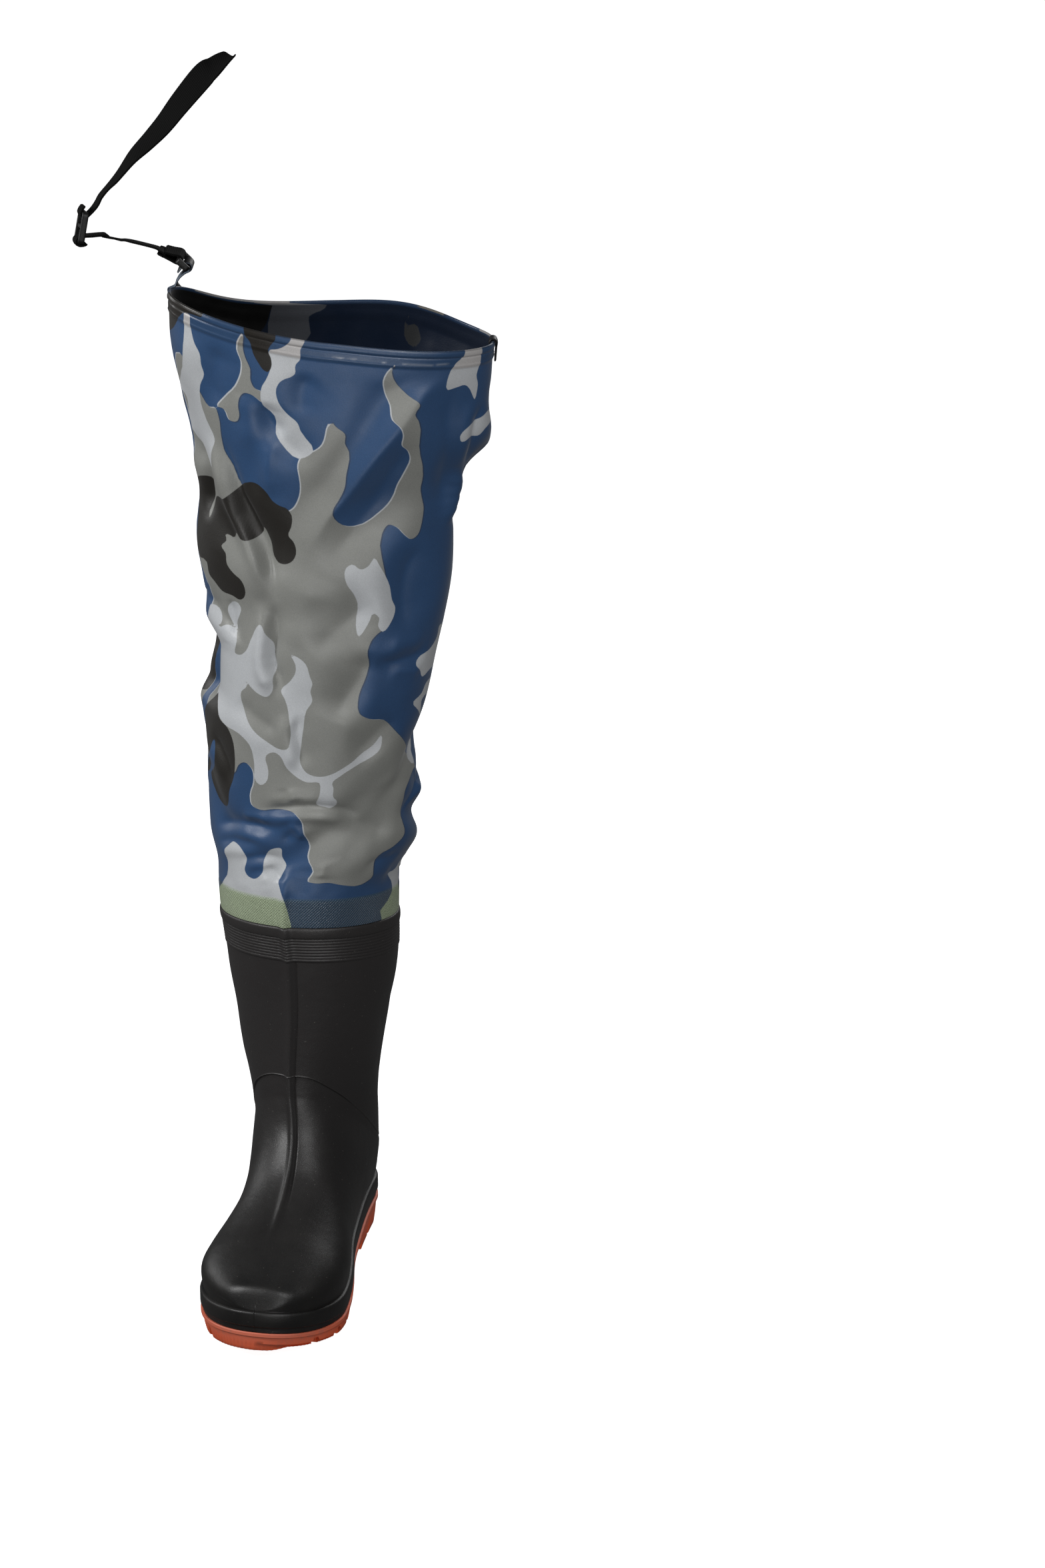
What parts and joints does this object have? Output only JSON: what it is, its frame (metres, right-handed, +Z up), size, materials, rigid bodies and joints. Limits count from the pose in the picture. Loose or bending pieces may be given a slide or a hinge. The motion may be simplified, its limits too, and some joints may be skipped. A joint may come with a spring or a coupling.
{
  "type": "hip wader",
  "caption": "Hip wader for the right foot: moulded boot with a lugged sole, welded printed-fabric leg to the hip and a webbing strap with a slider.",
  "frame": {"origin": "on the floor, on the flat of the middle heel lug, under the middle of the heel", "axes": "-Y towards the toe, -X towards the lateral side, +X towards the medial side, +Z up the leg"},
  "size_m": [0.3301, 0.3042, 1.0212],
  "materials": {
    "sole": "satin",
    "boot": "satin",
    "insole": "matte",
    "leg": "satin",
    "tab": "matte",
    "buckle": "satin",
    "webbing": "matte"
  },
  "bodies": {
    "root": {"outsole": "sole", "upper": "boot", "insole": "insole", "leg": "leg", "corner_tab": "tab", "strap_tab": "tab", "strap_ring": "buckle", "strap_lower": "webbing", "slider": "buckle", "strap_upper": "webbing"}
  },
  "joints": []
}
